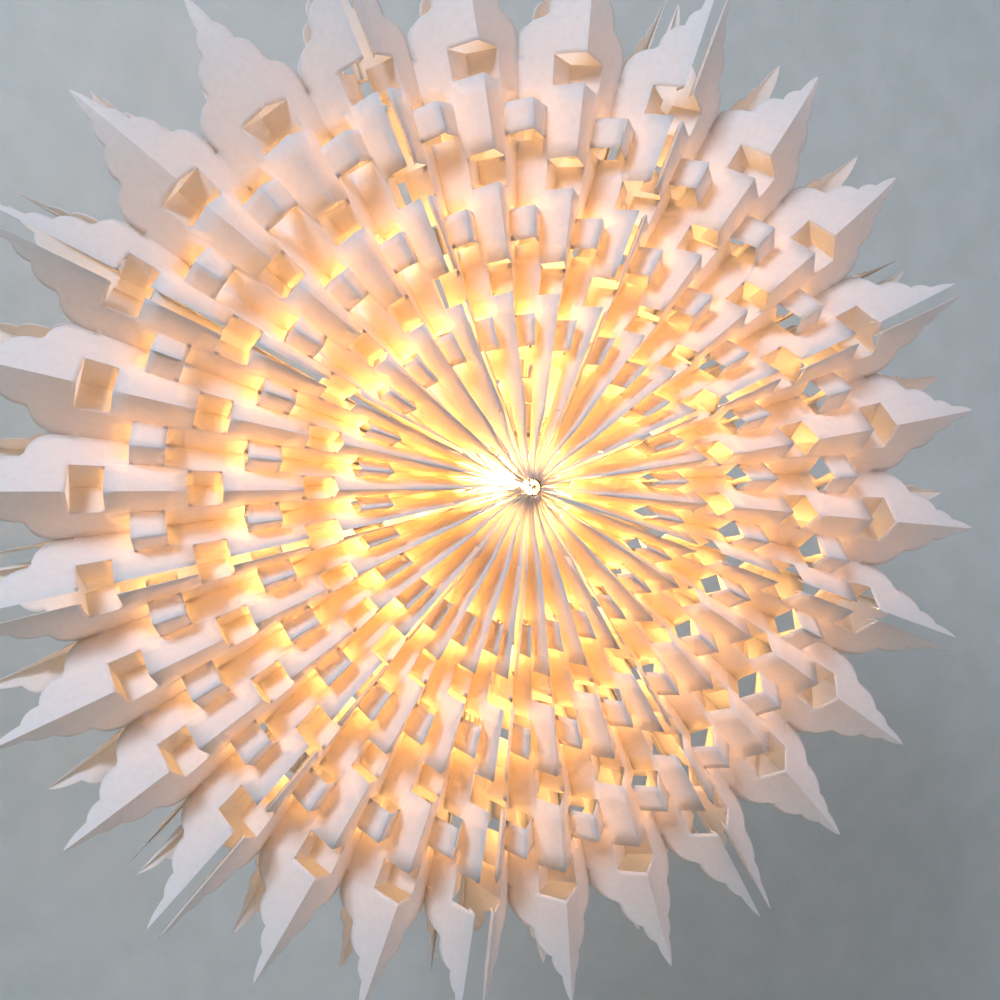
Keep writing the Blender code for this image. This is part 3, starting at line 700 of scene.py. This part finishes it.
def leaning(points, ridge, share, side):
    """Turns points about the hub axis, from nothing at the valleys to the back ridges' full lean. The sheets
    stay upright at the closing seam, where the pads meet."""
    if side < 0:
        return points
    from_closing = (ridge + math.pi / 2 + math.pi) % (2 * math.pi) - math.pi
    lean = BACK_LEAN * math.cos(ridge - LEAN_TOWARDS) * (1 - math.exp(-((from_closing / LEAN_RETURN) ** 2)))
    turn = lean * (1 - share)
    x = points[..., 0]
    z = points[..., 2] - HUB_HEIGHT
    across = x * np.cos(turn) - z * np.sin(turn)
    up = x * np.sin(turn) + z * np.cos(turn) + HUB_HEIGHT
    return np.stack([across, points[..., 1], up], -1)


def pleated_sheet(number, side):
    """The corners and faces of one sheet: for each panel a grid of (radius, share) with its windows left
    out, the flaps mirrored about their fold lines, and hems square to the seams."""
    corners = []
    faces = []
    count = 0
    angles, offsets = module_folds(number)
    nominal = angles.copy()
    nominal[[0, -1]] = fold_angle(2 * math.pi / MODULES * np.array([number, number + 1]) - math.pi / 2)
    rows = rows_of(angles[1::2])
    column_middle = (COLUMNS[:-1] + COLUMNS[1:]) / 2
    ridge_cut = inside(rows, RIDGE_WINDOWS)[:, None] & (column_middle < WINDOW_SHARE)
    valley_cut = inside(rows, VALLEY_WINDOWS)[:, None] & (column_middle > 1 - WINDOW_SHARE)
    for i in range(2 * PLEATS):
        r, v = (i, i + 1) if i % 2 == 0 else (i + 1, i)
        ridge = (angles[r], offsets[r])
        valley = (angles[v], offsets[v])
        low, high = share_limits(rows, angles[v])
        share = low[:, None] + (high - low)[:, None] * COLUMNS
        radius = rows[:, None] + 0 * share
        points = on_panel(ridge, valley, radius, share, side)
        every = quads(len(rows), len(COLUMNS))
        pushed_in = points.copy()
        pushed_in[..., 1] = 2 * points[:, 4:5, 1] - points[..., 1]
        pushed_out = points.copy()
        pushed_out[..., 1] = 2 * points[:, 5:6, 1] - points[..., 1]
        layers = [
            (points, share, ~(ridge_cut | valley_cut)),
            (pushed_in, share, ridge_cut),
            (pushed_out, share, valley_cut),
        ]
        if i in (0, 2 * PLEATS - 1):
            full = HEM_WIDTH * np.clip((STAR_RADIUS - rows) / HEM_TAPER, 0, 1)
            width = full[:, None] * np.linspace(0, 1, len(COLUMNS))
            hem = points[:, :1] + np.zeros_like(points)
            panel_way = points[:, -1:] - points[:, :1]
            panel_way[..., 1] = 0
            panel_way /= np.maximum(np.linalg.norm(panel_way, axis=-1, keepdims=True), 1e-9)
            hem[..., 1] -= side * width
            hem += panel_way * (width * HEM_LEAN)[..., None]
            keep = (rows[:-1] >= HEM_START - 1e-6) & ~inside(rows, RIDGE_WINDOWS)
            layers.append((hem, 0 * share, keep[:, None] & (column_middle > -1)))
        for layer, lean_share, kept in layers:
            corners.append(leaning(layer, nominal[r], lean_share, side).reshape(-1, 3))
            faces.append(every[kept] + count)
            count += layer.shape[0] * layer.shape[1]
    return np.concatenate(corners), np.concatenate(faces)


def add_sheet(name, number, side, material, body):
    """One sheet as a piece, with the card's thickness."""
    corners, faces = pleated_sheet(number, side)
    mesh = bpy.data.meshes.new(name)
    mesh.from_pydata(corners.tolist(), [], faces.tolist())
    bm = bmesh.new()
    bm.from_mesh(mesh)
    bmesh.ops.delete(bm, geom=[v for v in bm.verts if not v.link_faces], context="VERTS")
    bm.to_mesh(mesh)
    bm.free()
    piece = finish_mesh(name, mesh, material, body, smooth_angle=20)
    card = piece.modifiers.new("card", "SOLIDIFY")
    card.thickness = PAPER
    card.offset = 0.0
    return piece


def body_of(number):
    """The body that carries a module's sheets."""
    return "star_core" if number == CORE_MODULE else f"module_{number + 1}"


card = matt_card()
for number in range(MODULES):
    for face, side in (("front", -1), ("back", 1)):
        sheet = add_sheet(f"{face}_sheet_{number + 1}", number, side, card, body_of(number))
        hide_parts(f"{face}_pleats_{number + 1}")

# ---- Hub threads ----
# Brown cotton thread, twisted from three plies, drawn through the ends of the arms and knotted.

THREAD_RADIUS = 0.00045
THREAD_RING = 0.0046
THREAD_DEPTH = 0.0386
PLY_TURNS = 14
PLY_RADIUS = THREAD_RADIUS * 0.55
SPAN_RADIUS = THREAD_RADIUS * 0.8
SPAN_WAVE = 0.0003
KNOT_REACH = 0.0009


def cotton_thread():
    """Twisted cotton: matt brown with a paler bloom of loose fibre."""
    made, tree, surface, place = new_material("cotton_thread")
    tint = mottled(tree, place, 0.0006, "#5a3d28", "#8d6a4b")
    tree.links.new(tint, surface.inputs["Base Color"])
    surface.inputs["Roughness"].default_value = 0.9
    surface.inputs["Sheen Weight"].default_value = 0.4
    grain(tree, surface, place, 0.0003, 0.0001)
    return made


cotton = cotton_thread()
for face, side in (("front", -1), ("back", 1)):
    t = np.linspace(0, 2 * math.pi, 160, endpoint=False)
    for ply in range(3):
        twist = PLY_TURNS * t + ply * 2 * math.pi / 3
        reach = THREAD_RING + PLY_RADIUS * np.cos(twist)
        depth = side * (THREAD_DEPTH + PLY_RADIUS * np.sin(twist))
        path = np.stack([reach * np.cos(t), depth, reach * np.sin(t) + HUB_HEIGHT], -1)
        name = f"{face}_thread_ply_{ply + 1}"
        tube(name, path, PLY_RADIUS, cotton, "star_core", closed=True, sides=6)
    u = np.linspace(0, 2 * math.pi, 90, endpoint=False)
    knot_across = KNOT_REACH * (np.sin(u) + 2 * np.sin(2 * u)) * 0.6
    knot_depth = side * (THREAD_DEPTH + 0.0006) - side * KNOT_REACH * np.sin(3 * u) * 0.7
    knot_up = KNOT_REACH * (np.cos(u) - 2 * np.cos(2 * u)) * 0.6
    knot_path = np.stack([knot_across, knot_depth, knot_up + HUB_HEIGHT], -1)
    tube(f"{face}_knot", knot_path, THREAD_RADIUS, cotton, "star_core", closed=True, sides=8)
    span = np.linspace(-THREAD_RING, THREAD_RING, 24)
    span_across = SPAN_WAVE * np.sin(span * 900)
    span_path = np.stack([span_across, np.full(len(span), side * THREAD_DEPTH), span + HUB_HEIGHT], -1)
    tube(f"{face}_thread_span", span_path, SPAN_RADIUS, cotton, "star_core", sides=8)
    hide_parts(f"{face}_hub_thread")

# ---- Closing pads ----
# Hook-and-loop pads stuck to the hems of the bottom seam, which hold the ring shut.


def hook_and_loop():
    """Woven nylon with a cropped pile: a dull, furry white."""
    made, tree, surface, place = new_material("hook_and_loop")
    tint = mottled(tree, place, 0.0008, "#c9c8c3", "#e6e5e0")
    tree.links.new(tint, surface.inputs["Base Color"])
    surface.inputs["Roughness"].default_value = 0.95
    surface.inputs["Sheen Weight"].default_value = 0.5
    grain(tree, surface, place, 0.0005, 0.0003, 0.8)
    return made


dress(["hook_pad_1", "hook_pad_2", "loop_pad_1", "loop_pad_2"], hook_and_loop())

# ---- Wall, floor and light ----
# A plain painted wall behind the hanging star, a pale floor below, cool daylight from the upper left.
# Small warm lights inside the folds stand in for light that passes from pleat to pleat in the paper.

WALL_DISTANCE = 0.55
FLOOR_DROP = 1.6
ROOM_REACH = 6
GLOW_REACHES = (0.0560, 0.0854, 0.1432, 0.2010, 0.2480)  # from the hub axis
GLOW_POWERS = (0.030, 0.048, 0.038, 0.022, 0.005)  # watts
GLOW_SIZE = 0.005
SEAM_GLOW = 0.5  # share of the power at a ridge beside a seam, because two modules share it
SEAM_GLOW_SHIFT = 0.3  # share of the way from the seam to the next valley


def painted_wall():
    """Matt emulsion over roller-textured plaster: a cool grey with shallow orange-peel bumps."""
    made, tree, surface, place = new_material("painted_wall")
    tint = mottled(tree, place, 0.05, "#c3c8bf", "#cacec6")
    tree.links.new(tint, surface.inputs["Base Color"])
    surface.inputs["Roughness"].default_value = 0.8
    grain(tree, surface, place, 0.007, 0.002, 0.35)
    return made


def plane(name, corners, material):
    """A flat four-cornered backdrop."""
    mesh = bpy.data.meshes.new(name)
    mesh.from_pydata(corners, [], [(0, 1, 2, 3)])
    mesh.materials.append(material)
    made = bpy.data.objects.new(name, mesh)
    bpy.context.scene.collection.objects.link(made)


wall_paint = painted_wall()
foot_left = (-ROOM_REACH, WALL_DISTANCE, -FLOOR_DROP)
foot_right = (ROOM_REACH, WALL_DISTANCE, -FLOOR_DROP)
head_right = (ROOM_REACH, WALL_DISTANCE, ROOM_REACH)
head_left = (-ROOM_REACH, WALL_DISTANCE, ROOM_REACH)
near_left = (-ROOM_REACH, -ROOM_REACH, -FLOOR_DROP)
near_right = (ROOM_REACH, -ROOM_REACH, -FLOOR_DROP)
plane("wall", [foot_left, foot_right, head_right, head_left], wall_paint)
plane("floor", [near_left, near_right, foot_right, foot_left], wall_paint)


def area_light(name, place, aim, size, power, colour):
    """A square soft light that faces a point."""
    light = bpy.data.lights.new(name, "AREA")
    light.size = size
    light.energy = power
    light.color = linear(colour)[:3]
    made = bpy.data.objects.new(name, light)
    made.location = place
    made.rotation_euler = (Vector(aim) - Vector(place)).to_track_quat("-Z", "Y").to_euler()
    bpy.context.scene.collection.objects.link(made)


area_light("daylight", (-1.6, -1.5, 1.5), (0, 0, HUB_HEIGHT), 0.8, 58, "#dbe8ff")
area_light("fill", (1.8, -1.8, 0.4), (0, 0, HUB_HEIGHT), 1.2, 16, "#e8e8ff")


def glow_light(radius, angle, power, body):
    """A small warm light inside the paper, which moves with its module."""
    light = bpy.data.lights.new("glow", "POINT")
    light.energy = power
    light.color = linear(LAMP_LIGHT)[:3]
    light.shadow_soft_size = GLOW_SIZE
    made = bpy.data.objects.new("glow", light)
    made.location = (radius * math.cos(angle), 0, HUB_HEIGHT + radius * math.sin(angle))
    made.parent = frame["bodies"][body]
    made.matrix_parent_inverse = frame["bodies"][body].matrix_world.inverted()
    bpy.context.scene.collection.objects.link(made)


bpy.context.view_layer.update()
for number in range(MODULES):
    angles, offsets = module_folds(number)
    for fold in range(0, 2 * PLEATS + 1, 2):
        share = 1.0
        angle = angles[fold]
        if fold in (0, 2 * PLEATS):
            share = SEAM_GLOW
            valley = 1 if fold == 0 else fold - 1
            angle += SEAM_GLOW_SHIFT * (angles[valley] - angles[fold])
        for radius, power in zip(GLOW_REACHES, GLOW_POWERS):
            glow_light(radius, angle, share * power, body_of(number))

world = bpy.data.worlds.new("room")
world.use_nodes = True
world.node_tree.nodes["Background"].inputs["Color"].default_value = linear("#dbe2f4")
world.node_tree.nodes["Background"].inputs["Strength"].default_value = 0.22
bpy.context.scene.world = world
bpy.context.scene.view_settings.view_transform = "Standard"
